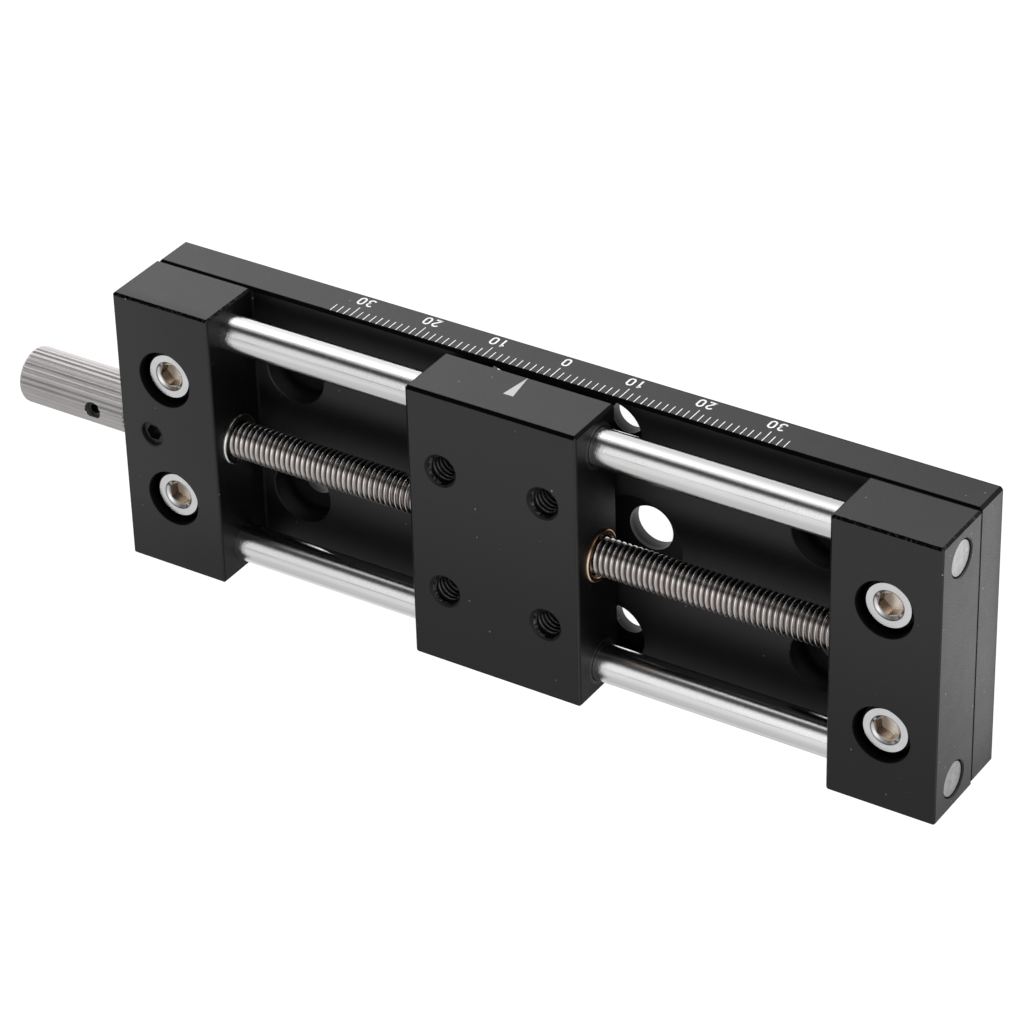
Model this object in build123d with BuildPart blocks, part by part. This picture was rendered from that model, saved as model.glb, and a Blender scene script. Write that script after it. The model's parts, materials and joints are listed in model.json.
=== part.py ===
from build123d import *
import os
from math import cos, pi, radians, sin

# Manual sliding table. Millimetres. X runs along the travel with the knob at +X,
# -Y is the side with the engraved scale, Z is up and the underside is z = 0.
os.makedirs("parts", exist_ok=True)

# base plate and end blocks
total_len = 120.0               # over the outer faces of the end blocks
base_len = 119.6                # the plate ends a little inside those faces
base_wid = 40.0
base_thk = 6.0
block_len = 15.0
block_top = 15.9
base_edge = 0.35                # chamfers on the outside edges
block_edge = 0.3
mouth_edge = 0.12               # smaller chamfer on the mouths of holes
bore_edge = 0.15                # chamfer where the rods show in the end faces
under_edge = 0.3                # chamfer on the holes in the underside
end_edge = 0.3                  # chamfer on the ends of the screws and the spindle
close_fit = 0.02                # gap round a piece that sits still in its hole

# one common height for the feed screw and both guide rods
axis_z = 11.0
rod_y = 16.0
rod_r = 2.5
rod_short = 0.25                # how far each rod end stays inside the end face
rod_edge = 0.2                  # chamfer on the rod's ends

# carriage, drawn a little off the middle of its travel, towards the knob
car_x = 2.2
car_len = 24.9
car_bottom = 7.0
car_top = 16.4
car_edge = 0.35
table_dx, table_dy = 15.0, 18.0  # pattern of the threaded holes in the table
table_hole_r = 2.0
table_hole_depth = 8.0
table_mouth = 0.35              # countersink on the threaded holes
car_bore_r = 2.9                # clears the rods and the feed screw

# sleeves that run on the rods and the nut on the feed screw
sleeve_r = 3.10
sleeve_len = 6.0
sleeve_gap = 0.04               # between sleeve and rod
sleeve_mouth = 0.12             # chamfer in the sleeve's outer mouth
nut_r = 3.5
nut_len = 15.0
nut_proud = 0.3                 # the nut stands out of the carriage's end face by this
nut_gap = 0.05                  # between the nut's bore and the thread's crests
nut_mouth = 0.35                # countersink in the nut's bore

# counterbored holes through the base plate
m4_hole_r = 2.25
m4_bore_r = 4.375
m4_bore_depth = 4.0
outer_holes = [(sx * 38.8, sy * 9.1) for sx in (-1, 1) for sy in (-1, 1)]
inner_holes = [(sx * 9.0, sy * 15.0) for sx in (-1, 1) for sy in (-1, 1)]
m6_hole_r = 3.15
m6_bore_r = 6.5
m6_bore_depth = 3.6
m6_holes = [(-12.5, 0.0), (12.5, 0.0)]

# cap screws that hold the end blocks down
end_x, end_y = 52.5, 9.05
head_r = 3.4
head_edge = 0.35                # chamfer round the top of the head
head_top = 14.8
head_floor = 10.8
head_bore_r = 3.9               # counterbore in the end block
shank_hole_r = 2.2
shank_r = 2.0
shank_end = 1.5
hex_af = 3.0
hex_depth = 1.9
hex_mouth = 0.4                 # depth of the round countersink over the hexagon
hex_mouth_r = 2.07

# feed screw, M5 x 0.8
pitch = 0.8
crest_r = 2.5
crest_half = 0.06               # half the flat on each crest
root_half = 0.02                # half the flat between two ridges
root_r = 2.03
journal_r = 2.0
thread_x0 = -44.80
thread_x1 = 44.5
far_end_x = -52.6
drive_end_x = 73.5

# bearings and thrust parts
bush_r = 3.5
bush_bore_r = 2.03
bush_len = 8.0
spindle_hole_r = 2.3
thrust_thick = 0.45
outer_thick = 0.40
outer_washer_x = 60.05

# spindle lock in the top of the drive block
lock_x = 55.3
lock_hole_r = 1.7
lock_hole_depth = 4.0
lock_mouth = 0.15
lock_screw_r = 1.67
lock_screw_len = 1.4
lock_hex_af = 2.0
lock_hex_depth = 1.0
lock_pad_r = 1.5
lock_pad_thick = 0.8
lock_gap = 0.1                  # pad to spindle, with the lock let go

# knob
knob_x0 = 60.45
knob_x1 = 78.2
knob_r = 3.88
knob_root_r = 3.73
knob_teeth = 32
knob_hole_x = 65.8
knob_hole_tilt = radians(87)    # from +Y towards +Z
knob_hole_r = 1.25
knob_edge = 0.4                 # bevel at the end by the drive block
knob_round = 0.9                # rounding at the outer end
knob_over = 0.02                # the turned outline starts this far outside the knurl
knob_bore_spare = 0.3           # room past the spindle's end
knob_screw_len = 1.2
knob_hex_af = 1.3
knob_hex_depth = 0.8

half_l = total_len / 2
inner_x = half_l - block_len
bush_start = inner_x            # the drive block's bush starts at its inner face
lock_pad_z = axis_z + journal_r + lock_gap
lock_screw_z = lock_pad_z + lock_pad_thick
screw_axis = Axis((0, 0, axis_z), (1, 0, 0))

with BuildPart() as base_plate:
    with Locations((0, 0, base_thk / 2)):
        Box(base_len, base_wid, base_thk)
    chamfer(base_plate.edges(), base_edge)
    with Locations(*[(x, y, base_thk) for x, y in outer_holes + inner_holes]):
        CounterBoreHole(m4_hole_r, m4_bore_r, m4_bore_depth)
    with Locations(*[(x, y, base_thk) for x, y in m6_holes]):
        CounterBoreHole(m6_hole_r, m6_bore_r, m6_bore_depth)
    with Locations(*[(sx * end_x, sy * end_y, base_thk) for sx in (-1, 1) for sy in (-1, 1)]):
        Hole(shank_r + close_fit)
    chamfer(base_plate.edges().filter_by(GeomType.CIRCLE).group_by(Axis.Z)[-1], mouth_edge)
    chamfer(base_plate.edges().filter_by(GeomType.CIRCLE).group_by(Axis.Z)[0], under_edge)
base_plate.part.label = "base_plate"
export_step(base_plate.part, "parts/base_plate.step")

# drive end block: bush pocket from the inner face, spindle hole right through
with BuildPart() as drive_end_block:
    with Locations((inner_x + block_len / 2, 0, (base_thk + block_top) / 2)):
        Box(block_len, base_wid, block_top - base_thk)
    chamfer(drive_end_block.edges(), block_edge)
    with BuildSketch(Plane.YZ.offset(inner_x)):
        with Locations((-rod_y, axis_z), (rod_y, axis_z)):
            Circle(rod_r + close_fit)
        with Locations((0, axis_z)):
            Circle(spindle_hole_r)
    extrude(amount=block_len, mode=Mode.SUBTRACT)
    with BuildSketch(Plane.YZ.offset(inner_x)):
        with Locations((0, axis_z)):
            Circle(bush_r + close_fit)
    extrude(amount=bush_len, mode=Mode.SUBTRACT)
    with Locations((end_x, -end_y, block_top), (end_x, end_y, block_top)):
        CounterBoreHole(shank_hole_r, head_bore_r, block_top - head_floor)
    chamfer(drive_end_block.edges().filter_by(GeomType.CIRCLE).group_by(Axis.Z)[-1], mouth_edge)
    chamfer(drive_end_block.edges().filter_by(GeomType.CIRCLE).group_by(Axis.X)[-1], bore_edge)
    # threaded hole for the spindle lock, open to the spindle
    with BuildSketch(Plane.XY.offset(block_top)):
        with Locations((lock_x, 0)):
            Circle(lock_hole_r)
    extrude(amount=-lock_hole_depth, mode=Mode.SUBTRACT)
    with Locations((lock_x, 0, block_top - lock_mouth / 2)):
        Cone(lock_hole_r, lock_hole_r + lock_mouth, lock_mouth, mode=Mode.SUBTRACT)
drive_end_block.part.label = "drive_end_block"
export_step(drive_end_block.part, "parts/drive_end_block.step")

# far end block: the screw's bore is blind, so only the rods show outside
with BuildPart() as far_end_block:
    with Locations((-inner_x - block_len / 2, 0, (base_thk + block_top) / 2)):
        Box(block_len, base_wid, block_top - base_thk)
    chamfer(far_end_block.edges(), block_edge)
    with BuildSketch(Plane.YZ.offset(-half_l)):
        with Locations((-rod_y, axis_z), (rod_y, axis_z)):
            Circle(rod_r + close_fit)
    extrude(amount=block_len, mode=Mode.SUBTRACT)
    with BuildSketch(Plane.YZ.offset(-inner_x)):
        with Locations((0, axis_z)):
            Circle(bush_r + close_fit)
    extrude(amount=-bush_len, mode=Mode.SUBTRACT)
    with Locations((-end_x, -end_y, block_top), (-end_x, end_y, block_top)):
        CounterBoreHole(shank_hole_r, head_bore_r, block_top - head_floor)
    chamfer(far_end_block.edges().filter_by(GeomType.CIRCLE).group_by(Axis.Z)[-1], mouth_edge)
    chamfer(far_end_block.edges().filter_by(GeomType.CIRCLE).group_by(Axis.X)[0], bore_edge)
far_end_block.part.label = "far_end_block"
export_step(far_end_block.part, "parts/far_end_block.step")

# two ground guide rods with chamfered ends, a hair short of the end faces
for name, y in (("guide_rod_front", -rod_y), ("guide_rod_rear", rod_y)):
    with BuildPart() as guide_rod:
        with BuildSketch(Plane.YZ.offset(-half_l + rod_short)):
            with Locations((y, axis_z)):
                Circle(rod_r)
        extrude(amount=total_len - 2 * rod_short)
        chamfer(guide_rod.edges().filter_by(GeomType.CIRCLE), rod_edge)
    guide_rod.part.label = name
    export_step(guide_rod.part, "parts/" + name + ".step")

# four cap screws, head down in the end block and shank in the base plate;
# the last number is how far each hexagon is turned from its corner on +X
end_screws = (
    ("end_screw_drive_front", end_x, -end_y, 12),
    ("end_screw_drive_rear", end_x, end_y, 36),
    ("end_screw_far_front", -end_x, -end_y, 20),
    ("end_screw_far_rear", -end_x, end_y, 38),
)
for name, x, y, turned in end_screws:
    with BuildPart() as cap_screw:
        with BuildSketch(Plane.XY.offset(head_floor)):
            with Locations((x, y)):
                Circle(head_r)
        extrude(amount=head_top - head_floor)
        chamfer(cap_screw.edges().sort_by(Axis.Z)[-1], head_edge)
        with BuildSketch(Plane.XY.offset(shank_end)):
            with Locations((x, y)):
                Circle(shank_r)
        extrude(amount=head_floor - shank_end)
        chamfer(cap_screw.edges().sort_by(Axis.Z)[0], end_edge)
        with BuildSketch(Plane.XY.offset(head_top)):
            with Locations((x, y)):
                RegularPolygon(hex_af / 2, 6, major_radius=False, rotation=turned)
        extrude(amount=-hex_depth, mode=Mode.SUBTRACT)
        with Locations((x, y, head_top - hex_mouth / 2)):
            Cone(hex_mouth_r - hex_mouth, hex_mouth_r, hex_mouth, mode=Mode.SUBTRACT)
    cap_screw.part.label = name
    export_step(cap_screw.part, "parts/" + name + ".step")

# plain bushes for the spindle, one in each end block
for name, x0 in (("spindle_bush", bush_start), ("far_bush", -bush_start - bush_len)):
    with BuildPart() as bush:
        with BuildSketch(Plane.YZ.offset(x0)):
            with Locations((0, axis_z)):
                Circle(bush_r)
                Circle(bush_bore_r, mode=Mode.SUBTRACT)
        extrude(amount=bush_len)
    bush.part.label = name
    export_step(bush.part, "parts/" + name + ".step")

# spindle lock: set screw over a soft pad, backed off a little
with BuildPart() as lock_pad:
    with BuildSketch(Plane.XY.offset(lock_pad_z)):
        with Locations((lock_x, 0)):
            Circle(lock_pad_r)
    extrude(amount=lock_pad_thick)
lock_pad.part.label = "lock_pad"
export_step(lock_pad.part, "parts/lock_pad.step")

with BuildPart() as lock_screw:
    with BuildSketch(Plane.XY.offset(lock_screw_z)):
        with Locations((lock_x, 0)):
            Circle(lock_screw_r)
    extrude(amount=lock_screw_len)
    with BuildSketch(Plane.XY.offset(lock_screw_z + lock_screw_len)):
        with Locations((lock_x, 0)):
            RegularPolygon(lock_hex_af / 2, 6, major_radius=False)
    extrude(amount=-lock_hex_depth, mode=Mode.SUBTRACT)
lock_screw.part.label = "lock_screw"
export_step(lock_screw.part, "parts/lock_screw.step")

# feed screw: journals at both ends, thread drawn as one ridge per pitch
thread_edge = 0.2
turns = int((thread_x1 - thread_x0 - 2 * thread_edge) / pitch)
journal_z, root_z, crest_z = axis_z + journal_r, axis_z + root_r, axis_z + crest_r
profile = [(far_end_x, axis_z), (far_end_x, journal_z - end_edge)]
profile += [(far_end_x + end_edge, journal_z), (thread_x0, journal_z), (thread_x0, root_z)]
for i in range(turns):
    ridge = thread_x0 + thread_edge + i * pitch
    profile += [(ridge + root_half, root_z), (ridge + pitch / 2 - crest_half, crest_z)]
    profile += [(ridge + pitch / 2 + crest_half, crest_z), (ridge + pitch - root_half, root_z)]
profile += [(thread_x1, root_z), (thread_x1, journal_z)]
profile += [(drive_end_x - end_edge, journal_z), (drive_end_x, journal_z - end_edge)]
profile += [(drive_end_x, axis_z)]

with BuildPart() as lead_screw:
    with BuildSketch(Plane.XZ):
        with BuildLine():
            Polyline(*profile, close=True)
        make_face()
    revolve(axis=screw_axis)
lead_screw.part.label = "lead_screw"
export_step(lead_screw.part, "parts/lead_screw.step")

# washers that carry the thrust on either side of the drive block
for name, x0, thick in (
    ("thrust_washer", thread_x1, thrust_thick),
    ("outer_washer", outer_washer_x, outer_thick),
):
    with BuildPart() as washer:
        with BuildSketch(Plane.YZ.offset(x0)):
            with Locations((0, axis_z)):
                Circle(bush_r)
                Circle(journal_r + close_fit, mode=Mode.SUBTRACT)
        extrude(amount=thick)
    washer.part.label = name
    export_step(washer.part, "parts/" + name + ".step")

# straight-knurled knob, bevelled at the end by the drive block and rounded at the outer end
knob_top = axis_z + knob_r + knob_over
knob_bore_end = drive_end_x + knob_bore_spare
knob_outline = [(knob_x0, axis_z), (knob_x0, knob_top - knob_edge), (knob_x0 + knob_edge, knob_top)]
for i in range(5):
    a = i * pi / 8
    knob_outline.append((knob_x1 - knob_round * (1 - sin(a)), knob_top - knob_round * (1 - cos(a))))
knob_outline.append((knob_x1, axis_z))
knob_hole_dir = (0, cos(knob_hole_tilt), sin(knob_hole_tilt))
knob_hole_plane = Plane(origin=(knob_hole_x, 0, axis_z), z_dir=knob_hole_dir)
knurl = []
for i in range(knob_teeth):
    for part_turn, r in ((0.0, knob_root_r), (0.3, knob_r), (0.7, knob_r)):
        a = 2 * pi * (i + part_turn) / knob_teeth
        knurl.append((r * cos(a), axis_z + r * sin(a)))

with BuildPart() as knob:
    with BuildSketch(Plane.YZ.offset(knob_x0)):
        with BuildLine():
            Polyline(*knurl, close=True)
        make_face()
    extrude(amount=knob_x1 - knob_x0)
    with BuildSketch(Plane.XZ):
        with BuildLine():
            Polyline(*knob_outline, close=True)
        make_face()
    revolve(axis=screw_axis, mode=Mode.INTERSECT)
    with BuildSketch(Plane.YZ.offset(knob_x0)):
        with Locations((0, axis_z)):
            Circle(journal_r + close_fit)
    extrude(amount=knob_bore_end - knob_x0, mode=Mode.SUBTRACT)
    with BuildSketch(knob_hole_plane):
        Circle(knob_hole_r)
    extrude(amount=knob_r + 1, mode=Mode.SUBTRACT)
knob.part.label = "knob"
export_step(knob.part, "parts/knob.step")

# set screw in the knob's radial hole, its tip against the spindle
with BuildPart() as knob_set_screw:
    with BuildSketch(knob_hole_plane.offset(journal_r + close_fit)):
        Circle(knob_hole_r - close_fit)
    extrude(amount=knob_screw_len)
    with BuildSketch(knob_hole_plane.offset(journal_r + close_fit + knob_screw_len)):
        RegularPolygon(knob_hex_af / 2, 6, major_radius=False)
    extrude(amount=-knob_hex_depth, mode=Mode.SUBTRACT)
knob_set_screw.part.label = "knob_set_screw"
export_step(knob_set_screw.part, "parts/knob_set_screw.step")

# carriage: rod bores with a bush pocket at each end, nut pocket, table holes
nut_x0 = car_x - car_len / 2 - nut_proud
with BuildPart() as carriage_block:
    with Locations((car_x, 0, (car_bottom + car_top) / 2)):
        Box(car_len, base_wid, car_top - car_bottom)
    chamfer(carriage_block.edges(), car_edge)
    with BuildSketch(Plane.YZ.offset(car_x - car_len / 2)):
        with Locations((-rod_y, axis_z), (rod_y, axis_z)):
            Circle(car_bore_r)
        with Locations((0, axis_z)):
            Circle(car_bore_r)
    extrude(amount=car_len, mode=Mode.SUBTRACT)
    for face_x, inward in ((car_x - car_len / 2, 1), (car_x + car_len / 2, -1)):
        with BuildSketch(Plane.YZ.offset(face_x)):
            with Locations((-rod_y, axis_z), (rod_y, axis_z)):
                Circle(sleeve_r + close_fit)
        extrude(amount=inward * sleeve_len, mode=Mode.SUBTRACT)
    with BuildSketch(Plane.YZ.offset(car_x - car_len / 2)):
        with Locations((0, axis_z)):
            Circle(nut_r + close_fit)
    extrude(amount=nut_len - nut_proud, mode=Mode.SUBTRACT)
    with BuildSketch(Plane.XY.offset(car_top)):
        with Locations((car_x, 0)):
            with GridLocations(table_dx, table_dy, 2, 2):
                Circle(table_hole_r)
    extrude(amount=-table_hole_depth, mode=Mode.SUBTRACT)
    with Locations((car_x, 0, car_top - table_mouth / 2)):
        with GridLocations(table_dx, table_dy, 2, 2):
            Cone(table_hole_r, table_hole_r + table_mouth, table_mouth, mode=Mode.SUBTRACT)
carriage_block.part.label = "carriage_block"
export_step(carriage_block.part, "parts/carriage_block.step")

with BuildPart() as lead_nut:
    with BuildSketch(Plane.YZ.offset(nut_x0)):
        with Locations((0, axis_z)):
            Circle(nut_r)
            Circle(crest_r + nut_gap, mode=Mode.SUBTRACT)
    extrude(amount=nut_len)
    bores = lead_nut.edges().filter_by(GeomType.CIRCLE).group_by(SortBy.RADIUS)[0]
    chamfer(bores, nut_mouth)
lead_nut.part.label = "lead_nut"
export_step(lead_nut.part, "parts/lead_nut.step")

# sleeves that run on the rods, one at each end of each carriage bore, flush with its end face
for name, side, end, y in (
    ("rod_bush_front_far", -1, 0, -rod_y),
    ("rod_bush_rear_far", -1, 0, rod_y),
    ("rod_bush_front_drive", 1, -1, -rod_y),
    ("rod_bush_rear_drive", 1, -1, rod_y),
):
    face_x = car_x + side * car_len / 2
    with BuildPart() as rod_bush:
        with BuildSketch(Plane.YZ.offset(face_x)):
            with Locations((y, axis_z)):
                Circle(sleeve_r)
                Circle(rod_r + sleeve_gap, mode=Mode.SUBTRACT)
        extrude(amount=-side * sleeve_len)
        mouths = rod_bush.edges().filter_by(GeomType.CIRCLE).group_by(Axis.X)[end]
        chamfer(mouths.sort_by(SortBy.RADIUS)[0], sleeve_mouth)
    rod_bush.part.label = name
    export_step(rod_bush.part, "parts/" + name + ".step")
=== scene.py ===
import json
from math import cos, pi, radians, sin, sqrt

import bmesh
import bpy
from mathutils import Matrix, Vector


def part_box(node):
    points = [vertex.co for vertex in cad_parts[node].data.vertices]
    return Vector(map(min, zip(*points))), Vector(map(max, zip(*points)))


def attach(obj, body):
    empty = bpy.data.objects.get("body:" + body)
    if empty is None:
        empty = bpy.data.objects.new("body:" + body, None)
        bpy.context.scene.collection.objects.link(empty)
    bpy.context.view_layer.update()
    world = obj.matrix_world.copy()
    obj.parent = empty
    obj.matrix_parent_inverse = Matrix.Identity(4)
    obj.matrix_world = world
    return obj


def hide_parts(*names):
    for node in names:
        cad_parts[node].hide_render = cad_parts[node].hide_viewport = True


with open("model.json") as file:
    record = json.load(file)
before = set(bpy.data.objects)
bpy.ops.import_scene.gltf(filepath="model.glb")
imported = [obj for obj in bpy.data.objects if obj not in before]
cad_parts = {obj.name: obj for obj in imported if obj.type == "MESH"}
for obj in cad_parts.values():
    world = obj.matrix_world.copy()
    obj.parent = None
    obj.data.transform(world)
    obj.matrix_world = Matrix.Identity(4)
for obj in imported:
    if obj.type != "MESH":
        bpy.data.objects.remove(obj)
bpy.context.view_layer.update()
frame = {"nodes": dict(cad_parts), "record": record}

bpy.context.scene.view_settings.view_transform = "Standard"
MM = 0.001

# main sizes, the same as in the solids, in millimetres
AXIS_Z = 11.0
ROOT_R, CREST_R, JOURNAL_R, PITCH = 2.03, 2.50, 2.0, 0.8
THREAD_X0, THREAD_X1, FAR_END, DRIVE_END = -44.80, 44.50, -52.6, 73.5
PLATE_X, BLOCK_X, INNER_X, HALF_WIDTH = 59.8, 60.0, 45.0, 20.0
FRONT_Y, BASE_TOP, BLOCK_TOP = -HALF_WIDTH, 6.0, 15.9
CAR_X, CAR_LEN, CAR_TOP = 2.2, 24.9, 16.4
TABLE_DX, TABLE_DY, TABLE_HOLE_R, TABLE_HOLE_DEPTH = 15.0, 18.0, 2.0, 8.0
# screws of the end blocks: places, top of the heads, bores and floors of the sockets
END_X, END_Y, HEAD_TOP, HEAD_BORE_R, SOCKET_Z = 52.5, 9.05, 14.8, 3.9, 12.9
ROD_Y, ROD_R, ROD_END_X = 16.0, 2.5, 59.5
RING_R = 3.5
NUT_X, NUT_LEN = CAR_X - CAR_LEN / 2 - 0.3, 15.0
# chamfers on the outside edges of the black pieces, painted near black as shade
EDGES = {"base_plate": 0.35, "drive_end_block": 0.30, "far_end_block": 0.30,
         "carriage_block": 0.35}


# mesh helpers
def make_object(name, verts, faces, smooth=None):
    """A mesh object from points in millimetres, its faces turned outwards."""
    mesh = bpy.data.meshes.new(name)
    mesh.from_pydata([(x * MM, y * MM, z * MM) for x, y, z in verts], [], faces)
    bm = bmesh.new()
    bm.from_mesh(mesh)
    bmesh.ops.recalc_face_normals(bm, faces=bm.faces)
    bm.to_mesh(mesh)
    bm.free()
    if smooth is not None:
        mesh.shade_smooth()
        mesh.set_sharp_from_angle(angle=radians(smooth))
    obj = bpy.data.objects.new(name, mesh)
    bpy.context.scene.collection.objects.link(obj)
    return obj


def lathe_x(verts, faces, profile, segments=72, ring=False):
    """A closed solid of revolution about the screw's axis, or a ring whose profile is a loop."""
    rings = []
    for x, r in profile:
        if r == 0:
            verts.append((x, 0, AXIS_Z))
            rings.append([len(verts) - 1])
            continue
        first = len(verts)
        for i in range(segments):
            a = 2 * pi * i / segments
            verts.append((x, r * cos(a), AXIS_Z + r * sin(a)))
        rings.append(list(range(first, first + segments)))
    for low, high in zip(rings, rings[1:] + rings[:1] if ring else rings[1:]):
        for i in range(segments):
            j = (i + 1) % segments
            if len(low) == 1:
                faces.append((low[0], high[i], high[j]))
            elif len(high) == 1:
                faces.append((low[i], high[0], low[j]))
            else:
                faces.append((low[i], high[i], high[j], low[j]))


def helix(verts, faces, section, place, pitch, turns, segments, hold=0.0, fade=0.0):
    """A right-hand ridge. section lists (offset, radius); with a fade, given in turns, the ridge
    sinks to the radius hold at both ends."""
    steps, n = int(turns * segments), len(section)
    first = len(verts)
    for i in range(steps + 1):
        a = 2 * pi * i / segments
        grow = 1.0
        if fade:
            grow = min(1.0, i / (fade * segments), (steps - i) / (fade * segments))
        for offset, r in section:
            verts.append(place(pitch * i / segments + offset, a, hold + (r - hold) * grow))
    for i in range(steps):
        low, high = first + i * n, first + (i + 1) * n
        for k in range(n):
            m = (k + 1) % n
            faces.append((low + k, low + m, high + m, high + k))
    faces.append(tuple(first + k for k in range(n)))
    faces.append(tuple(first + steps * n + k for k in reversed(range(n))))


def cut_ends(mesh, x0, x1, tolerance=1e-8):
    """Cut a closed mesh square at two values of X in millimetres, and close it again there. The
    tolerance is in metres."""
    bm = bmesh.new()
    bm.from_mesh(mesh)
    for x, outward in ((x0, -1), (x1, 1)):
        everything = bm.verts[:] + bm.edges[:] + bm.faces[:]
        made = bmesh.ops.bisect_plane(bm, geom=everything, plane_co=(x * MM, 0, 0),
                                      dist=tolerance, plane_no=(outward, 0, 0),
                                      clear_outer=True)
        rim = [item for item in made["geom_cut"] if isinstance(item, bmesh.types.BMEdge)]
        bmesh.ops.triangle_fill(bm, use_beauty=True, edges=rim)
    bmesh.ops.recalc_face_normals(bm, faces=bm.faces)
    bm.to_mesh(mesh)
    bm.free()


def slab(verts, faces, outline, y0, y1):
    """A thin plate in the X-Z plane between two values of Y."""
    first, n = len(verts), len(outline)
    verts += [(x, y0, z) for x, z in outline] + [(x, y1, z) for x, z in outline]
    faces.append(tuple(first + k for k in range(n)))
    faces.append(tuple(first + n + k for k in reversed(range(n))))
    for k in range(n):
        m = (k + 1) % n
        faces.append((first + k, first + m, first + n + m, first + n + k))


def ribbon(verts, faces, path, half, closed, y0, y1):
    """A thin stroke of width 2 x half along a path in the X-Z plane."""
    n = len(path)
    left, right = [], []
    for i, (x, z) in enumerate(path):
        before = path[i - 1] if closed or i else path[i]
        after = path[(i + 1) % n] if closed or i < n - 1 else path[i]
        dx, dz = after[0] - before[0], after[1] - before[1]
        length = sqrt(dx * dx + dz * dz)
        nx, nz = -dz / length, dx / length
        left.append((x + nx * half, z + nz * half))
        right.append((x - nx * half, z - nz * half))
    first = len(verts)
    for (lx, lz), (rx, rz) in zip(left, right):
        verts += [(lx, y0, lz), (rx, y0, rz), (rx, y1, rz), (lx, y1, lz)]
    for i in range(n if closed else n - 1):
        a, b = first + 4 * i, first + 4 * ((i + 1) % n)
        for k in range(4):
            m = (k + 1) % 4
            faces.append((a + k, a + m, b + m, b + k))
    if not closed:
        last = first + 4 * (n - 1)
        faces.append((first, first + 1, first + 2, first + 3))
        faces.append((last + 3, last + 2, last + 1, last))


# node helpers
NOISE_LOW, NOISE_HIGH = 0.3, 0.7     # nearly all values of a noise lie between these
BLACK, WHITE = (0.0, 0.0, 0.0), (1.0, 1.0, 1.0)


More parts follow.
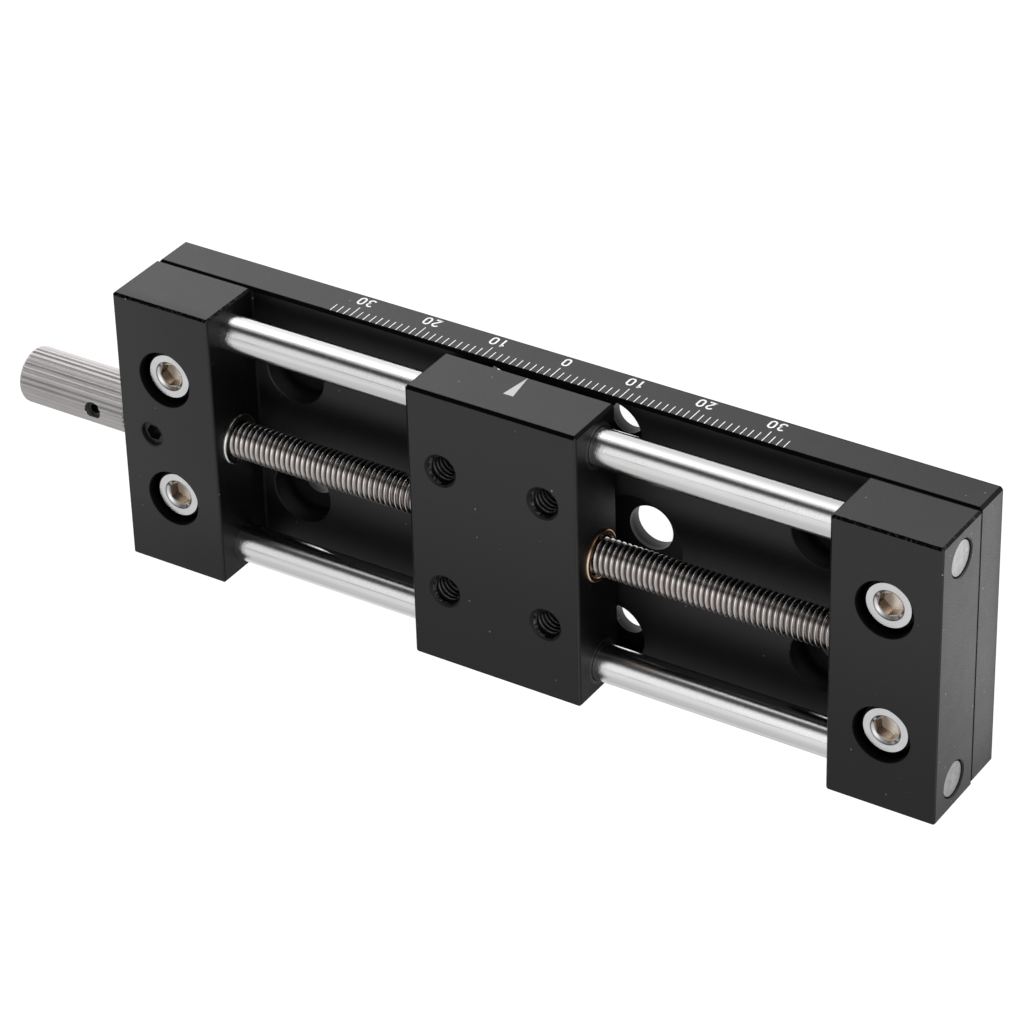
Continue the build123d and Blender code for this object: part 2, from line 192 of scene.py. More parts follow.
class Nodes:
    """Short calls that build one node tree. A value is a number, a colour or a node's output."""

    def __init__(self, tree, coordinates="Object"):
        self.tree = tree
        self.place = self.node("ShaderNodeTexCoord").outputs[coordinates]

    def node(self, kind, **settings):
        made = self.tree.nodes.new(kind)
        for key, value in settings.items():
            setattr(made, key, value)
        return made

    def feed(self, socket, value):
        if isinstance(value, tuple):
            socket.default_value = (*value, 1)
        elif isinstance(value, (int, float)):
            socket.default_value = value
        else:
            self.tree.links.new(value, socket)

    def math(self, operation, *values):
        made = self.node("ShaderNodeMath", operation=operation)
        for socket, value in zip(made.inputs, values):
            self.feed(socket, value)
        return made.outputs[0]

    def chain(self, operation, values):
        result = values[0]
        for value in values[1:]:
            result = self.math(operation, result, value)
        return result

    def times(self, *values):
        return self.chain("MULTIPLY", values)

    def total(self, *values):
        return self.chain("ADD", values)

    def most(self, *values):
        return self.chain("MAXIMUM", values)

    def minus(self, a, b):
        return self.math("SUBTRACT", a, b)

    def absolute(self, value):
        return self.math("ABSOLUTE", value)

    def distance(self, a, b):
        return self.math("SQRT", self.total(self.times(a, a), self.times(b, b)))

    def axes(self):
        made = self.node("ShaderNodeSeparateXYZ")
        self.feed(made.inputs[0], self.place)
        return made.outputs

    def from_pair(self, value, half):
        """Offset from the nearer of two places, which are half to either side of 0. half is in
        millimetres."""
        return self.minus(self.absolute(value), half * MM)

    def noise(self, scale, stretch=(1, 1, 1), detail=4, rough=0.55):
        mapping = self.node("ShaderNodeMapping")
        mapping.inputs["Scale"].default_value = stretch
        self.feed(mapping.inputs["Vector"], self.place)
        made = self.node("ShaderNodeTexNoise")
        made.inputs["Scale"].default_value = scale
        made.inputs["Detail"].default_value = detail
        made.inputs["Roughness"].default_value = rough
        self.feed(made.inputs["Vector"], mapping.outputs[0])
        return made.outputs["Fac"]

    def rings(self, a, b, scale):
        """Fine circles round the point where a and b are 0, and the distance from it."""
        radius = self.distance(a, b)
        made = self.node("ShaderNodeTexNoise", noise_dimensions="1D")
        made.inputs["Scale"].default_value = scale
        made.inputs["Detail"].default_value = 5
        self.feed(made.inputs["W"], radius)
        return made.outputs["Fac"], radius

    def ramp(self, value, stops):
        made = self.node("ShaderNodeValToRGB")
        band = made.color_ramp
        while len(band.elements) < len(stops):
            band.elements.new(0.5)
        for element, (position, colour) in zip(band.elements, stops):
            element.position = position
            colour = colour if isinstance(colour, tuple) else (colour,) * 3
            element.color = (*colour, 1)
        self.feed(made.inputs["Fac"], value)
        return made.outputs["Color"]

    def shades(self, noise, dark, light):
        return self.ramp(noise, [(NOISE_LOW, dark), (NOISE_HIGH, light)])

    def between(self, value, low, high, to_low, to_high, kind="SMOOTHSTEP"):
        made = self.node("ShaderNodeMapRange", interpolation_type=kind)
        for key, number in (("From Min", low), ("From Max", high), ("To Min", to_low),
                            ("To Max", to_high)):
            made.inputs[key].default_value = number
        self.feed(made.inputs["Value"], value)
        return made.outputs["Result"]

    def fade(self, value, low, high, to_low, to_high, kind="SMOOTHSTEP"):
        """Like between, with low and high in millimetres."""
        return self.between(value, low * MM, high * MM, to_low, to_high, kind)

    def step(self, value, low, high):
        """0 below low and 1 above high, in millimetres, or the other way where low is higher."""
        if low > high:
            return self.fade(value, high, low, 1.0, 0.0)
        return self.fade(value, low, high, 0.0, 1.0)

    def face(self, value, place, outward=1):
        """1 on the face at a place in millimetres, and 0 from 0.2 mm inside it."""
        return self.step(value, place - 0.2 * outward, place - 0.1 * outward)

    def hill(self, value, centre, half, height):
        """height at the centre, falling to 0 at half to either side, both in millimetres."""
        offset = self.absolute(self.minus(value, centre * MM))
        return self.fade(offset, 0, half, height, 0.0)

    def mix_colour(self, fac, a, b):
        made = self.node("ShaderNodeMix", data_type="RGBA")
        sockets = {socket.identifier: socket for socket in made.inputs}
        for key, value in (("Factor_Float", fac), ("A_Color", a), ("B_Color", b)):
            self.feed(sockets[key], value)
        return {socket.identifier: socket for socket in made.outputs}["Result_Color"]

    def mix_shader(self, fac, a, b):
        made = self.node("ShaderNodeMixShader")
        for socket, value in zip(made.inputs, (fac, a, b)):
            self.feed(socket, value)
        return made.outputs[0]


class Finish(Nodes):
    """A procedural material built round one Principled shader."""

    def __init__(self, name, metallic, roughness, colour, ior=1.45):
        self.material = bpy.data.materials.new(name)
        self.material.use_nodes = True
        super().__init__(self.material.node_tree)
        self.shader = self.tree.nodes["Principled BSDF"]
        self.set("Metallic", metallic)
        self.set("Roughness", roughness)
        self.set("Base Color", colour)
        self.set("IOR", ior)

    def set(self, socket, value):
        self.feed(self.shader.inputs[socket], value)

    def set_rough(self, noise, low, high):
        self.set("Roughness", self.between(noise, NOISE_LOW, NOISE_HIGH, low, high))

    def bump(self, height, strength, distance_mm):
        """Bumps are added to the ones already there."""
        made = self.node("ShaderNodeBump")
        made.inputs["Strength"].default_value = strength
        made.inputs["Distance"].default_value = distance_mm * MM
        self.feed(made.inputs["Height"], height)
        previous = self.shader.inputs["Normal"]
        if previous.is_linked:
            self.feed(made.inputs["Normal"], previous.links[0].from_socket)
        self.set("Normal", made.outputs[0])


# Painted shade on the black pieces: how much darker each place looks than its finish, from 0 to
# 1. Places are in millimetres.
def base_shade(f, x, y, z):
    across = f.absolute(x)
    # painted shade on the top between the end blocks, deepest along the front edge, under the
    # screw and under the rear rod
    bands = f.total(f.hill(y, -4.2, 3.6, 0.5), f.hill(y, 13.5, 8.0, 0.55),
                    f.hill(y, -18.4, 2.6, 0.50))
    top = f.times(f.face(z, BASE_TOP), f.step(across, INNER_X - 0.1, INNER_X - 0.4),
                  f.math("ADD", bands, 0.22))
    # painted shade on the walls of the holes, less of it in a line at the floors of the
    # counterbores
    within = f.times(f.step(across, PLATE_X - 0.6, PLATE_X - 0.8),
                     f.step(f.absolute(y), HALF_WIDTH - 0.6, HALF_WIDTH - 0.8))
    walls = f.times(within, f.step(z, BASE_TOP - 0.1, BASE_TOP - 0.2),
                    f.fade(z, 0.3, 1.8, 0.0, 0.72), f.minus(1.0, f.hill(z, 2.2, 0.5, 0.6)))
    # painted shade on the rear edges of the end faces and along the lower rim, and the dark seam
    # under the far block
    outside = f.minus(1.0, within)
    end = f.times(f.face(across, PLATE_X), f.fade(y, 13.5, 19, 0.0, 0.42))
    rim = f.times(outside, f.step(x, 15, -40), f.step(z, 0.56, 0.46), 0.9)
    seam = f.times(outside, f.step(x, -INNER_X + 0.1, -INNER_X),
                   f.step(z, BASE_TOP - 0.50, BASE_TOP - 0.42), 0.95)
    return f.most(f.total(top, walls, end), rim, seam)


def block_shade(f, x, y, z, drive):
    """Painted shade on the inner face, on the top towards the rear and in the bores of the
    screws.
    """
    across = f.absolute(x)
    inner = f.times(f.face(across, INNER_X, -1), 0.62)
    if drive:
        level = f.total(f.fade(y, 6, 20, 0.0, 0.27), f.fade(across, 46, 60, 0.12, 0.0))
    else:
        level = f.fade(y, -18, 18, 0.14, 0.46)
    top = f.times(f.face(z, BLOCK_TOP), level)
    radius = f.distance(f.from_pair(x, END_X), f.from_pair(y, END_Y))
    bore = f.step(radius, HEAD_BORE_R + 0.14, HEAD_BORE_R + 0.04)
    shade = f.most(inner, top, f.times(bore, 0.9))
    if drive:
        # painted shade on the upper part of the front
        return f.most(shade, f.times(f.face(y, FRONT_Y, -1), f.fade(z, 13.5, 15.6, 0.0, 0.16)))
    # painted shade on the rear edge of the end face, and the dark seam over the base plate
    end = f.times(f.face(across, BLOCK_X), f.fade(y, 13.5, 19, 0.0, 0.36))
    seam = f.times(f.step(z, BASE_TOP + 0.5, BASE_TOP + 0.42), 0.95)
    return f.most(shade, end, seam)


def drive_shade(f, x, y, z):
    return block_shade(f, x, y, z, True)


def far_shade(f, x, y, z):
    return block_shade(f, x, y, z, False)


def carriage_shade(f, x, y, z):
    """Painted shade on the end faces, on the top towards the rear, and in the holes with their
    countersinks.
    """
    x = f.minus(x, CAR_X * MM)
    ends = f.times(f.face(f.absolute(x), CAR_LEN / 2), f.fade(z, 12, CAR_TOP, 0.64, 0.5))
    top = f.times(f.step(z, CAR_TOP - 0.1, CAR_TOP - 0.05), f.fade(y, -18, 18, 0.12, 0.44))
    radius = f.distance(f.from_pair(x, TABLE_DX / 2), f.from_pair(y, TABLE_DY / 2))
    mouth = f.times(f.step(radius, TABLE_HOLE_R + 0.38, TABLE_HOLE_R + 0.34), 0.55)
    holes = f.times(f.step(radius, TABLE_HOLE_R + 0.1, TABLE_HOLE_R), 0.9)
    return f.most(ends, top, f.most(holes, mouth))


# the painted shade of each black piece
SHADES = {"base_plate": base_shade, "drive_end_block": drive_shade,
          "far_end_block": far_shade, "carriage_block": carriage_shade}


# materials
def black_anodised(node=None):
    """Black anodised, bead blasted aluminium with dust. A node that is named gets near black
    chamfers and its own darker places, both painted shade: there the surface is metallic with a
    black colour, which also takes the gloss away."""
    f = Finish("black_anodised", 0.0, 0.42, (0.01, 0.01, 0.01), ior=1.6)
    cloud = f.noise(420, detail=5)
    grain = f.noise(5200, detail=3)
    colour = f.shades(cloud, (0.0058, 0.0058, 0.0060), (0.0077, 0.0077, 0.0080))
    speck = f.node("ShaderNodeTexVoronoi")
    speck.inputs["Scale"].default_value = 620
    f.feed(speck.inputs["Vector"], f.place)
    split = f.node("ShaderNodeSeparateColor")
    f.feed(split.inputs[0], speck.outputs["Color"])
    chosen = f.math("GREATER_THAN", split.outputs[0], 0.65)
    size = f.math("MULTIPLY_ADD", split.outputs[1], 0.05, 0.03)
    dust = f.times(chosen, f.math("LESS_THAN", speck.outputs["Distance"], size))
    colour = f.mix_colour(dust, colour, (0.22, 0.22, 0.215))
    rough = f.between(cloud, NOISE_LOW, NOISE_HIGH, 0.44, 0.47)
    f.set("Roughness", f.total(rough, f.times(grain, 0.05)))
    f.bump(grain, 0.24, 0.012)
    if node:
        x, y, z = f.axes()
        low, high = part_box(node)
        under = [f.minus(value, least) for value, least in zip((x, y, z), low)]
        over = [f.minus(most, value) for value, most in zip((x, y, z), high)]
        near = [f.math("MINIMUM", a, b) for a, b in zip(under, over)]
        if node == "carriage_block":
            # the lower edges on its front and rear get no painted dark chamfer
            near[2] = over[2]
        # except on the base plate, the upper edge of the end face away from the knob gets no
        # painted dark chamfer
        upper = f.total(over[2], near[0] if node == "base_plate" else over[0])
        lower = f.total(under[2], near[0])
        gap = f.math("MINIMUM", upper, lower)
        for first, second in ((0, 1), (1, 2)):
            gap = f.math("MINIMUM", gap, f.total(near[first], near[second]))
        # the chamfers painted near black, a painted shade, with ragged borders
        ragged = 0.24 if node.endswith("end_block") else 0.14
        edge_jitter = f.math("MULTIPLY_ADD", f.noise(2600, detail=3), ragged * MM, -0.12 * MM)
        edge = EDGES[node]
        dark = f.fade(f.total(gap, edge_jitter), edge, edge + 0.08, 0.98, 0.0)
        # and the piece's own painted shade
        dark = f.most(dark, SHADES[node](f, x, y, z))
        # darker specks of the blasted grain, strongest on the end face and on the front: the
        # grain is real, its strength on these faces a painted shade
        seen = f.total(f.times(f.step(under[0], 0.06, 0.03), 0.34),
                       f.times(f.step(under[1], 0.06, 0.03), 0.14), 0.04)
        blasted = f.times(f.between(grain, 0.38, 0.62, 0.0, 1.0), seen)
        dark = f.total(dark, f.times(blasted, f.minus(1.0, dark)))
        colour = f.mix_colour(dark, colour, (0.003, 0.003, 0.003))
        f.set("Metallic", dark)
    f.set("Base Color", colour)
    return f.material


def black_thread():
    """The threads in the table holes: near black as painted shade, with bare crests that carry a
    painted highlight, fading to painted shade towards the knob.
    """
    f = Finish("black_thread", 1.0, 0.3, (0.02, 0.02, 0.02))
    x, y, z = f.axes()
    x = f.minus(x, CAR_X * MM)
    a = f.minus(x, f.times(f.math("SIGN", x), TABLE_DX / 2 * MM))
    b = f.from_pair(y, TABLE_DY / 2)
    cloud = f.noise(2500, detail=4)
    # the top turn below the mouth is lighter in patches
    first_turn = f.times(f.step(z, CAR_TOP - 0.85, CAR_TOP - 0.65),
                         f.between(cloud, 0.42, 0.62, 0.1, 0.8))
    crest = f.most(f.step(f.distance(a, b), 1.82, 1.70), first_turn)
    # the bare crests with a painted highlight, fading to painted shade towards the knob
    bare_lit_crest = f.shades(cloud, (0.34, 0.34, 0.34), (0.62, 0.62, 0.615))
    bare_lit_crest = f.mix_colour(f.fade(a, -0.2, 1.5, 0.0, 0.8), bare_lit_crest, (0.03, 0.03, 0.03))
    f.set("Base Color", f.mix_colour(crest, (0.006, 0.006, 0.006), bare_lit_crest))
    f.set_rough(cloud, 0.25, 0.36)
    f.bump(cloud, 0.1, 0.006)
    return f.material


def rod_chrome():
    """Rods ground and given a polish, their ends duller, with a dark rim."""
    f = Finish("rod_chrome", 1.0, 0.14, (0.87, 0.87, 0.87))
    lines = f.noise(900, stretch=(6, 0.6, 0.6), detail=6, rough=0.7)
    grit = f.noise(4200, stretch=(1.3, 0.45, 0.45), detail=4, rough=0.7)
    smear = f.noise(160, stretch=(0.5, 3, 3), detail=5)
    shaft = f.ramp(smear, [(0.25, (0.84, 0.84, 0.845)), (0.75, (0.90, 0.90, 0.895))])
    x, y, z = f.axes()
    rise = f.minus(z, AXIS_Z * MM)
    face = f.math("GREATER_THAN", f.absolute(x), ROD_END_X * MM)
    radius = f.distance(f.from_pair(y, ROD_Y), rise)
    rim = f.times(f.step(radius, ROD_R - 0.28, ROD_R - 0.16), face)
    end = f.shades(f.noise(1500, detail=5), (0.29, 0.29, 0.29), (0.40, 0.40, 0.395))
    # a painted reflection of a dark band along the front of the rod, and two thin dark lines
    # along its upper half
    side = f.minus(y, f.times(f.math("SIGN", y), ROD_Y * MM))
    painted_dark_band = f.times(f.fade(rise, 0.1, 0.95, 0.40, 0.0), f.step(side, -1.5, -1.9),
                   f.step(rise, -0.55, -0.15))
    thin_dark_lines = f.total(f.hill(side, -0.84, 0.07, 0.5), f.hill(side, 1.15, 0.03, 0.2))
    thin_dark_lines = f.times(thin_dark_lines, f.step(rise, 0.2, 0.4),
                   f.between(f.noise(70, stretch=(1, 0, 0)), 0.42, 0.6, 0.2, 1.0))
    shaft = f.mix_colour(f.most(painted_dark_band, thin_dark_lines), shaft, (0.12, 0.12, 0.12))
    f.set("Base Color", f.mix_colour(rim, f.mix_colour(face, shaft, end), (0.02, 0.02, 0.02)))
    rough = f.between(lines, NOISE_LOW, NOISE_HIGH, 0.10, 0.19)
    f.set("Roughness", f.total(rough, f.times(face, 0.32)))
    f.bump(lines, 0.10, 0.004)
    f.bump(grit, 0.60, 0.03)
    return f.material


def stainless():
    """The feed screw and the small turned pieces round it."""
    f = Finish("stainless", 1.0, 0.24, (0.62, 0.60, 0.57))
    lines = f.noise(1500, stretch=(7, 0.5, 0.5), detail=5, rough=0.65)
    colour = f.shades(f.noise(500, detail=4), (0.61, 0.56, 0.54), (0.74, 0.69, 0.67))
    x, y, z = f.axes()
    rise = f.minus(z, AXIS_Z * MM)
    radius = f.distance(y, rise)
    slant = f.total(y, rise)
    thread = f.math("LESS_THAN", f.absolute(x), -THREAD_X0 * MM)
    # crests with a polish and a painted highlight, except towards the rear and top, and painted
    # shade between them, deepest on the front and underside
    lighter_roots = f.fade(slant, -2.4, -0.2, 0.0, 1.0)
    root = f.mix_colour(lighter_roots, f.step(radius, 2.42, 2.30), f.fade(radius, 2.10, 2.42, 1.0, 0.0))
    root_shade = f.mix_colour(lighter_roots, (0.07, 0.066, 0.064), (0.27, 0.25, 0.24))
    crest = f.times(f.step(radius, 2.38, 2.45), thread, f.fade(slant, 0.5, 1.7, 1.0, 0.0))
    colour = f.mix_colour(crest, colour, (1.0, 0.96, 0.95))
    colour = f.mix_colour(f.times(root, thread), colour, root_shade)
    # painted shade on the side to the rear
    rear = f.times(f.fade(y, 0.55, 1.25, 0.0, 0.75), thread)
    f.set("Base Color", f.mix_colour(rear, colour, (0.06, 0.055, 0.05)))
    f.set_rough(lines, 0.20, 0.32)
    f.bump(lines, 0.12, 0.004)
    return f.material


def screw_head():
    """Bright cap screws with a painted shade in a ring round the socket, and oil inside it."""
    f = Finish("screw_head", 1.0, 0.2, (0.80, 0.80, 0.80))
    x, y, z = f.axes()
    a = f.minus(x, f.times(f.math("SIGN", x), END_X * MM))
    lines, radius = f.rings(a, f.from_pair(y, END_Y), 9000)
    bright = f.shades(f.noise(700, detail=4), (0.84, 0.84, 0.845), (0.92, 0.92, 0.925))
    # a painted shade in a ring round the socket's mouth
    bright = f.mix_colour(f.hill(radius, 2.06, 0.13, 0.85), bright, (0.10, 0.09, 0.085))
    # inside the socket, the walls, browned by oil, get a painted shade on the side towards the
    # knob, and the floor a painted highlight away from it
    socket_shade = f.fade(a, 0.3, 1.1, 0.0, 1.0)
    walls = f.mix_colour(socket_shade, (0.58, 0.49, 0.40), (0.20, 0.155, 0.125))
    floor = f.step(z, SOCKET_Z + 0.03, SOCKET_Z + 0.01)
    floor_highlight = f.mix_colour(f.fade(a, -0.6, 0.9, 0.0, 1.0), (1.0, 0.94, 0.86), (0.44, 0.36, 0.29))
    walls = f.mix_colour(floor, walls, floor_highlight)
    deep = f.fade(z, HEAD_TOP - 0.45, HEAD_TOP - 0.25, 1.0, 0.0)
    f.set("Base Color", f.mix_colour(deep, bright, walls))
    f.set("Metallic", f.math("MULTIPLY_ADD", floor, -0.65, 1.0))
    f.set_rough(lines, 0.16, 0.28)
    f.bump(lines, 0.25, 0.006)
    return f.material


def knob_steel():
    """Satin steel with streaks along the knurls."""
    f = Finish("knob_steel", 1.0, 0.44, (0.55, 0.53, 0.52))
    streak = f.noise(1400, stretch=(0.06, 1, 1), detail=6, rough=0.75)
    fine = f.noise(5200, stretch=(0.05, 1, 1), detail=3)
    cloud = f.noise(300, detail=4)
    tint = f.total(f.times(streak, 0.7), f.times(cloud, 0.3))
    f.set("Base Color", f.shades(tint, (0.46, 0.44, 0.435), (0.60, 0.58, 0.575)))
    f.set_rough(streak, 0.40, 0.52)
    f.bump(streak, 0.15, 0.01)
    f.bump(fine, 0.20, 0.008)
    return f.material


def bronze():
    """The nut: a bright rim with a painted shade to the front, round a face with painted shade
    and a mouth with deeper painted shade.
    """
    f = Finish("bronze", 1.0, 0.26, (0.72, 0.42, 0.24))
    _, y, z = f.axes()
    lines, radius = f.rings(y, f.minus(z, AXIS_Z * MM), 7000)
    bright = f.shades(f.noise(600, detail=4), (0.96, 0.72, 0.50), (1.0, 0.84, 0.64))
    # painted shade on the rim towards the front
    bright = f.mix_colour(f.step(y, -0.9, -2.6), bright, (0.42, 0.24, 0.14))
    face = f.times(f.step(radius, 2.94, 3.0), f.step(radius, RING_R - 0.16, RING_R - 0.21))
    mouth = f.step(radius, 2.86, 2.82)
    # painted shade on the face, deeper in the mouth
    face_and_mouth_shade = f.mix_colour(mouth, (0.34, 0.15, 0.05), (0.13, 0.06, 0.03))
    f.set("Base Color", f.mix_colour(f.most(face, mouth), bright, face_and_mouth_shade))
    f.set_rough(lines, 0.2, 0.34)
    f.bump(lines, 0.2, 0.006)
    return f.material


def bright_ring():
    """The thrust washer: a bright rim with a painted highlight that fades to dark towards the
    front and rear, round a dark face.
    """
    f = Finish("bright_ring", 1.0, 0.2, (0.85, 0.85, 0.84))
    _, y, z = f.axes()
    lines, radius = f.rings(y, f.minus(z, AXIS_Z * MM), 7000)
    dark_face = f.shades(f.noise(900, detail=4), (0.12, 0.12, 0.10), (0.22, 0.21, 0.18))
    # the rim's painted highlight fades to dark towards the front and rear
    sides = f.fade(f.absolute(y), 1.3, 2.7, 0.0, 0.75)
    rim_highlight = f.mix_colour(sides, (0.88, 0.88, 0.86), (0.16, 0.16, 0.15))
    rim = f.step(radius, RING_R - 0.30, RING_R - 0.25)
    f.set("Base Color", f.mix_colour(rim, dark_face, rim_highlight))
    f.set_rough(lines, 0.16, 0.28)
    f.bump(lines, 0.2, 0.005)
    return f.material


def mottled(name, metallic, roughness, colour, scale, shades, rough, bump, noise_rough=0.55):
    """A plain finish: one noise gives its shades, its range of roughness and its bump."""
    f = Finish(name, metallic, roughness, colour)
    grain = f.noise(scale, detail=4, rough=noise_rough)
    f.set("Base Color", f.shades(grain, *shades))
    f.set_rough(grain, *rough)
    f.bump(grain, *bump)
    return f.material


def black_oxide():
    return mottled("black_oxide", 1.0, 0.38, (0.05, 0.05, 0.052), 1800,
                   ((0.035, 0.035, 0.037), (0.075, 0.074, 0.074)), (0.3, 0.46), (0.1, 0.008))


def black_polymer():
    return mottled("black_polymer", 0.0, 0.5, (0.02, 0.02, 0.02), 3000,
                   ((0.006, 0.006, 0.006), (0.012, 0.012, 0.012)), (0.42, 0.52), (0.15, 0.01))


def pad_brass():
    return mottled("pad_brass", 1.0, 0.35, (0.75, 0.58, 0.3), 1500,
                   ((0.66, 0.49, 0.24), (0.80, 0.63, 0.35)), (0.28, 0.42), (0.1, 0.006))


def scale_white(level=1.0):
    return mottled("scale_white", 0.0, 0.6, (0.8, 0.8, 0.79), 6000,
                   (0.80 * level, 0.96 * level), (0.5, 0.7), (0.2, 0.008), noise_rough=0.65)


makers = (black_anodised, rod_chrome, stainless, screw_head, knob_steel, bronze, black_oxide,
          black_polymer, pad_brass, scale_white)
finishes = {make.__name__: make() for make in makers}

# the four black pieces and the thrust washer have finishes of their own, with their painted shade
# and highlights
slots = {part["node"]: part["material_slot"] for part in frame["record"]["subparts"]}
own = {node: black_anodised(node) for node in EDGES}
own["thrust_washer"] = bright_ring()
for node, obj in frame["nodes"].items():
    for slot in obj.material_slots:
        slot.material = own.get(node) or finishes[slots[node]]


def finish_piece(obj, slot, body, material=None):
    obj.data.materials.append(material or finishes[slot])
    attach(obj, body)


# feed screw: a turned core and one long ridge, cut square where the thread ends
THREAD_TURN = radians(-126)
SCREW_SEGMENTS, SCREW_CREASE = 44, 48
CUT_INSIDE = 0.01


def on_screw(along, a, r):
    """The ridge starts 1.5 turns before the thread and ends as far behind it."""
    return (THREAD_X0 - 1.5 * PITCH + along, r * cos(a + THREAD_TURN),
            AXIS_Z + r * sin(a + THREAD_TURN))


verts, faces = [], []
ridge = [(0.0, 1.98), (0.02, 2.03), (0.31, 2.44), (0.35, 2.485), (0.40, CREST_R), (0.45, 2.485),
         (0.49, 2.44), (0.78, 2.03), (0.80, 1.98)]
thread_turns = (THREAD_X1 - THREAD_X0) / PITCH + 3
helix(verts, faces, ridge, on_screw, PITCH, thread_turns, SCREW_SEGMENTS)
screw = make_object("lead_screw_thread", verts, faces)
cut_ends(screw.data, THREAD_X0 + CUT_INSIDE, THREAD_X1 - CUT_INSIDE)
verts, faces = [], []
lathe_x(verts, faces, [
    (FAR_END, 0), (FAR_END, JOURNAL_R - 0.3), (FAR_END + 0.3, JOURNAL_R), (THREAD_X0, JOURNAL_R),
    (THREAD_X0 + 0.03, ROOT_R), (THREAD_X1 - 0.03, ROOT_R), (THREAD_X1, JOURNAL_R),
    (DRIVE_END - 0.3, JOURNAL_R), (DRIVE_END, JOURNAL_R - 0.3), (DRIVE_END, 0)])
core = make_object("core", verts, faces)
both = bmesh.new()
both.from_mesh(screw.data)
both.from_mesh(core.data)
both.to_mesh(screw.data)
both.free()
bpy.data.objects.remove(core)
screw.data.shade_smooth()
screw.data.set_sharp_from_angle(angle=radians(SCREW_CREASE))
finish_piece(screw, "stainless", "spindle")
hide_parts("lead_screw")


# nut and thrust washer, their rims rounded
def rounded_rim(x, size, back, bore, mouth, count=6):
    """Profile of a ring whose rim is rounded towards -X, from its bore round to its back."""
    turns = [radians(90 * i / count) for i in range(count + 1)]
    rim = [(x + size * (1 - sin(a)), RING_R - size * (1 - cos(a))) for a in reversed(turns)]
    return [(back, bore), (x + mouth, bore), (x, bore + mouth)] + rim + [(back, RING_R)]


NUT = rounded_rim(NUT_X, 0.22, NUT_X + NUT_LEN, CREST_R + 0.05, 0.35)
WASHER = rounded_rim(THREAD_X1, 0.25, THREAD_X1 + 0.45, JOURNAL_R, 0.1)
for node, profile, slot, body, material in (
        ("lead_nut", NUT, "bronze", "carriage", None),
        ("thrust_washer", WASHER, "rod_chrome", "spindle", own["thrust_washer"])):
    verts, faces = [], []
    lathe_x(verts, faces, profile, ring=True)
    piece = make_object(node + "_turned", verts, faces, smooth=35)
    finish_piece(piece, slot, body, material)
    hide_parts(node)

# threads in the table holes, from a little above the floor to a little below the mouth
M4_PITCH, M4_MINOR, M4_START = 0.7, 1.66, radians(145)
M4_HEIGHT, M4_BOTTOM = TABLE_HOLE_DEPTH - 0.35, CAR_TOP - TABLE_HOLE_DEPTH + 0.25
M4_HOLD, M4_FADE, M4_SEGMENTS = 2.02, 0.35, 40
verts, faces = [], []
tooth = [(0.0, 2.03), (0.04, 1.99), (0.28, M4_MINOR + 0.03), (0.35, M4_MINOR),
         (0.42, M4_MINOR + 0.03), (0.66, 1.99), (0.70, 2.03)]
for sx in (-1, 1):
    for sy in (-1, 1):
        def in_hole(along, a, r, cx=CAR_X + sx * TABLE_DX / 2, cy=sy * TABLE_DY / 2):
            return (cx + r * cos(a + M4_START), cy + r * sin(a + M4_START), M4_BOTTOM + along)

        helix(verts, faces, tooth, in_hole, M4_PITCH, (M4_HEIGHT - M4_PITCH) / M4_PITCH,
              M4_SEGMENTS, M4_HOLD, M4_FADE)
threads = make_object("table_threads", verts, faces, smooth=40)
finish_piece(threads, "black_anodised", "carriage", black_thread())

# scale and pointer, just proud of the front faces
MARK_Y0, MARK_Y1 = FRONT_Y - 0.015, FRONT_Y + 0.01
SCALE_END, TENTH = 33, 10
TICK_HALF, TICK_CORNER, TICK_TOP, TICK_LOW, TENTH_LOW = 0.06, 0.05, 5.6, 3.95, 3.2
verts, faces = [], []
for mm in range(-SCALE_END, SCALE_END + 1):
    low = TENTH_LOW if mm % TENTH == 0 else TICK_LOW
    half = TICK_HALF
    outline = [(mm - half, low + TICK_CORNER), (mm - half + 0.04, low), (mm + half - 0.04, low),
               (mm + half, low + TICK_CORNER), (mm + half, TICK_TOP), (mm - half, TICK_TOP)]
    slab(verts, faces, outline, MARK_Y0, MARK_Y1)
ticks = make_object("scale_ticks", verts, faces)
finish_piece(ticks, "scale_white", "base")


def arc(cx, cz, rx, rz, start, end, count=14):
    step = radians(end - start) / count
    return [(cx + rx * cos(radians(start) + i * step), cz + rz * sin(radians(start) + i * step))
            for i in range(count + 1)]


# strokes of the digits about their middles, each with a flag for a closed loop
DIGITS = {
    "0": [(arc(0, 0.33, 0.39, 0.42, 0, 180) + arc(0, -0.33, 0.39, 0.42, 180, 360), True)],
    "1": [([(-0.30, 0.42), (-0.02, 0.66), (0.05, 0.72)], False),
          ([(0.06, 0.85), (0.06, -0.86)], False)],
    "2": [(arc(0, 0.36, 0.38, 0.39, 165, -25) + [(0.16, -0.02), (-0.40, -0.74)], False),
          ([(-0.46, -0.75), (0.44, -0.75)], False)],
    "3": [(arc(-0.02, 0.37, 0.36, 0.38, 150, -80), False),
          (arc(-0.02, -0.37, 0.41, 0.38, 85, -155), False)],
}
DIGIT_STEP, DIGIT_Z, STROKE_HALF = 1.36, 1.70, 0.13
verts, faces = [], []
for mm in range(-30, 31, TENTH):
    text = str(abs(mm))
    for k, char in enumerate(text):
        cx = mm + DIGIT_STEP * (k - (len(text) - 1) / 2)
        for path, closed in DIGITS[char]:
            path = [(cx + x, DIGIT_Z + z) for x, z in path]
            if closed:
                path = path[:-1]
            ribbon(verts, faces, path, STROKE_HALF, closed, MARK_Y0, MARK_Y1)
digits = make_object("scale_digits", verts, faces)
finish_piece(digits, "scale_white", "base")

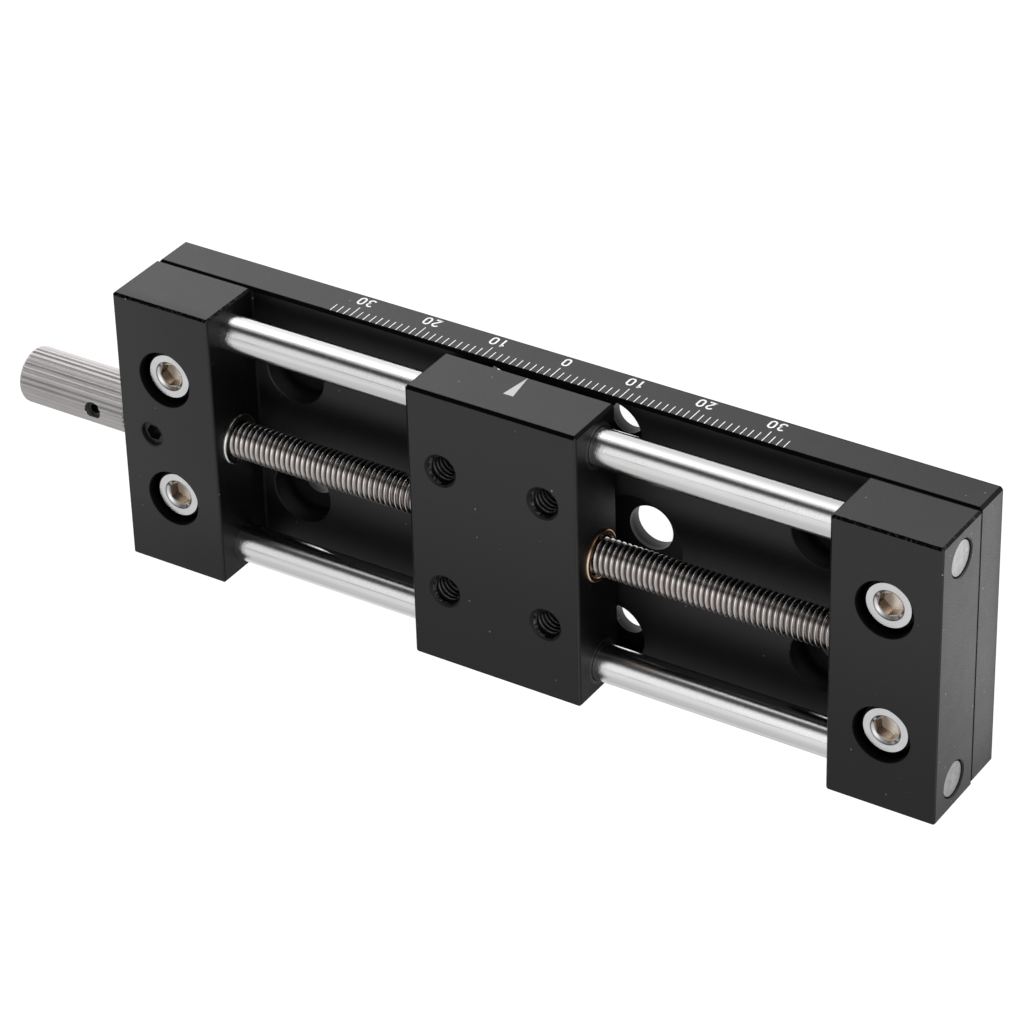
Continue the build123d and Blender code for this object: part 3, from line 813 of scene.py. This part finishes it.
POINTER_TIP, POINTER_TOP, POINTER_HALF = 7.25, 11.9, 0.72
verts, faces = [], []
outline = [(CAR_X, POINTER_TIP), (CAR_X + POINTER_HALF, POINTER_TOP),
           (CAR_X - POINTER_HALF, POINTER_TOP)]
slab(verts, faces, outline, MARK_Y0, MARK_Y1)
pointer = make_object("table_pointer", verts, faces)
finish_piece(pointer, "scale_white", "carriage", scale_white(0.6))

# camera at the photograph's viewing angle
camera_data = bpy.data.cameras.new("camera")
camera = bpy.data.objects.new("camera", camera_data)
bpy.context.scene.collection.objects.link(camera)
right = Vector((-0.84509298, 0.02458008, -0.53405401))
up = Vector((0.27181474, -0.84043994, -0.46880429))
back = Vector((-0.46036356, -0.54134696, 0.70356866))
camera.matrix_world = Matrix.Translation((-0.24692187, -0.29576613, 0.39251838)) @ Matrix(
    (right, up, back)).transposed().to_4x4()
camera_data.sensor_width = 36.0
camera_data.lens = 152.07159
camera_data.clip_start = 0.01
camera_data.clip_end = 20
bpy.context.scene.camera = camera

# floor, just under the base plate, in metres
FLOOR_R, FLOOR_Z, FLOOR_SIDES = 4.0, -0.00002, 64
floor_mesh = bpy.data.meshes.new("floor")
turns = [2 * pi * i / FLOOR_SIDES for i in range(FLOOR_SIDES)]
floor_mesh.from_pydata([(FLOOR_R * cos(a), FLOOR_R * sin(a), FLOOR_Z) for a in turns], [],
                       [tuple(range(FLOOR_SIDES))])
floor = bpy.data.objects.new("floor", floor_mesh)
bpy.context.scene.collection.objects.link(floor)


def pale_floor():
    """White to the camera. What the metal sees of it is brighter towards the knob and beyond
    the far end, and dim at the rear."""
    material = bpy.data.materials.new("pale_floor")
    material.use_nodes = True
    material.node_tree.nodes.clear()
    n = Nodes(material.node_tree)
    x, y, _ = n.axes()
    front = n.fade(x, -60, 65, 0.95, 1.79, "LINEAR")
    beyond = n.times(n.fade(x, -72, -62, 1.62, 2.14, "LINEAR"),
                     n.fade(y, 6, 26, 1.0, 0.55, "LINEAR"))
    is_beyond = n.fade(x, -59, -61, 0.0, 1.0, "LINEAR")
    level = n.math("MULTIPLY_ADD", n.minus(beyond, front), is_beyond, front)
    rear = n.times(n.fade(y, 19, 21, 0.0, 1.0, "LINEAR"),
                   n.fade(x, -61, -59, 0.0, 0.55, "LINEAR"))
    level = n.times(level, n.minus(1.0, rear))
    ray = n.node("ShaderNodeLightPath").outputs
    camera_glow = n.times(ray["Is Camera Ray"], 1.2)
    strength = n.math("MULTIPLY_ADD", level, n.minus(1.0, ray["Is Camera Ray"]), camera_glow)
    glow = n.node("ShaderNodeEmission")
    n.feed(glow.inputs["Strength"], strength)
    diffuse = n.node("ShaderNodeBsdfDiffuse")
    n.feed(diffuse.inputs["Color"], (0.86, 0.86, 0.86))
    glowing = n.mix_shader(0.80, diffuse.outputs[0], glow.outputs[0])
    seen = n.most(ray["Is Camera Ray"], ray["Is Glossy Ray"], ray["Is Transmission Ray"])
    output = n.node("ShaderNodeOutputMaterial")
    n.feed(output.inputs["Surface"], n.mix_shader(seen, diffuse.outputs[0], glowing))
    return material


floor_mesh.materials.append(pale_floor())

# world: a studio of soft lamps, from the front horizon at 0 over 0.5 overhead to the rear
# horizon at 1, about the travel axis
SKY = [(0.0, 0.95), (0.045, 1.0), (0.075, 0.50), (0.115, 0.085), (0.185, 0.06), (0.225, 0.20),
       (0.29, 0.92), (0.34, 1.06), (0.40, 1.08), (0.448, 1.0), (0.53, 0.84), (0.62, 0.77),
       (0.72, 0.62), (0.90, 0.55), (1.0, 0.62)]
world = bpy.data.worlds.new("studio")
bpy.context.scene.world = world
world.use_nodes = True
studio = Nodes(world.node_tree, "Generated")
x, y, z = studio.axes()
turn = studio.math("DIVIDE", studio.math("ARCTAN2", z, studio.times(y, -1)), pi)
sky = studio.ramp(turn, SKY)
# the front lamp's sheet ends towards the knob, so what is reflected that way is dimmer
dim = studio.times(studio.between(x, 0.448, 0.497, 0.0, 0.43),
                   studio.between(turn, 0.52, 0.63, 1.0, 0.0, "LINEAR"))
ray = studio.node("ShaderNodeLightPath").outputs
colour = studio.mix_colour(ray["Is Camera Ray"], studio.mix_colour(dim, sky, BLACK), WHITE)
background = world.node_tree.nodes["Background"]
studio.feed(background.inputs["Color"], colour)
# less of it as plain light, where the lamps take over
strength = studio.between(ray["Is Diffuse Ray"], 0.0, 1.0, 1.0, 0.62, "LINEAR")
studio.feed(background.inputs["Strength"], strength)


def lamp(name, where, size, power):
    """A square lamp that points at the origin and shows in no reflection."""
    data = bpy.data.lights.new(name, "AREA")
    data.shape = "SQUARE"
    data.size = size
    data.energy = power
    obj = bpy.data.objects.new(name, data)
    bpy.context.scene.collection.objects.link(obj)
    obj.location = where
    obj.rotation_euler = (-Vector(where)).to_track_quat("-Z", "Y").to_euler()
    obj.visible_glossy = False


lamp("key_lamp", (-0.45, -0.35, 0.70), 0.45, 3.0)
lamp("fill_lamp", (0.30, -0.15, 0.85), 0.60, 1.2)
lamp("front_lamp", (-0.10, -0.80, 0.35), 0.50, 4.0)
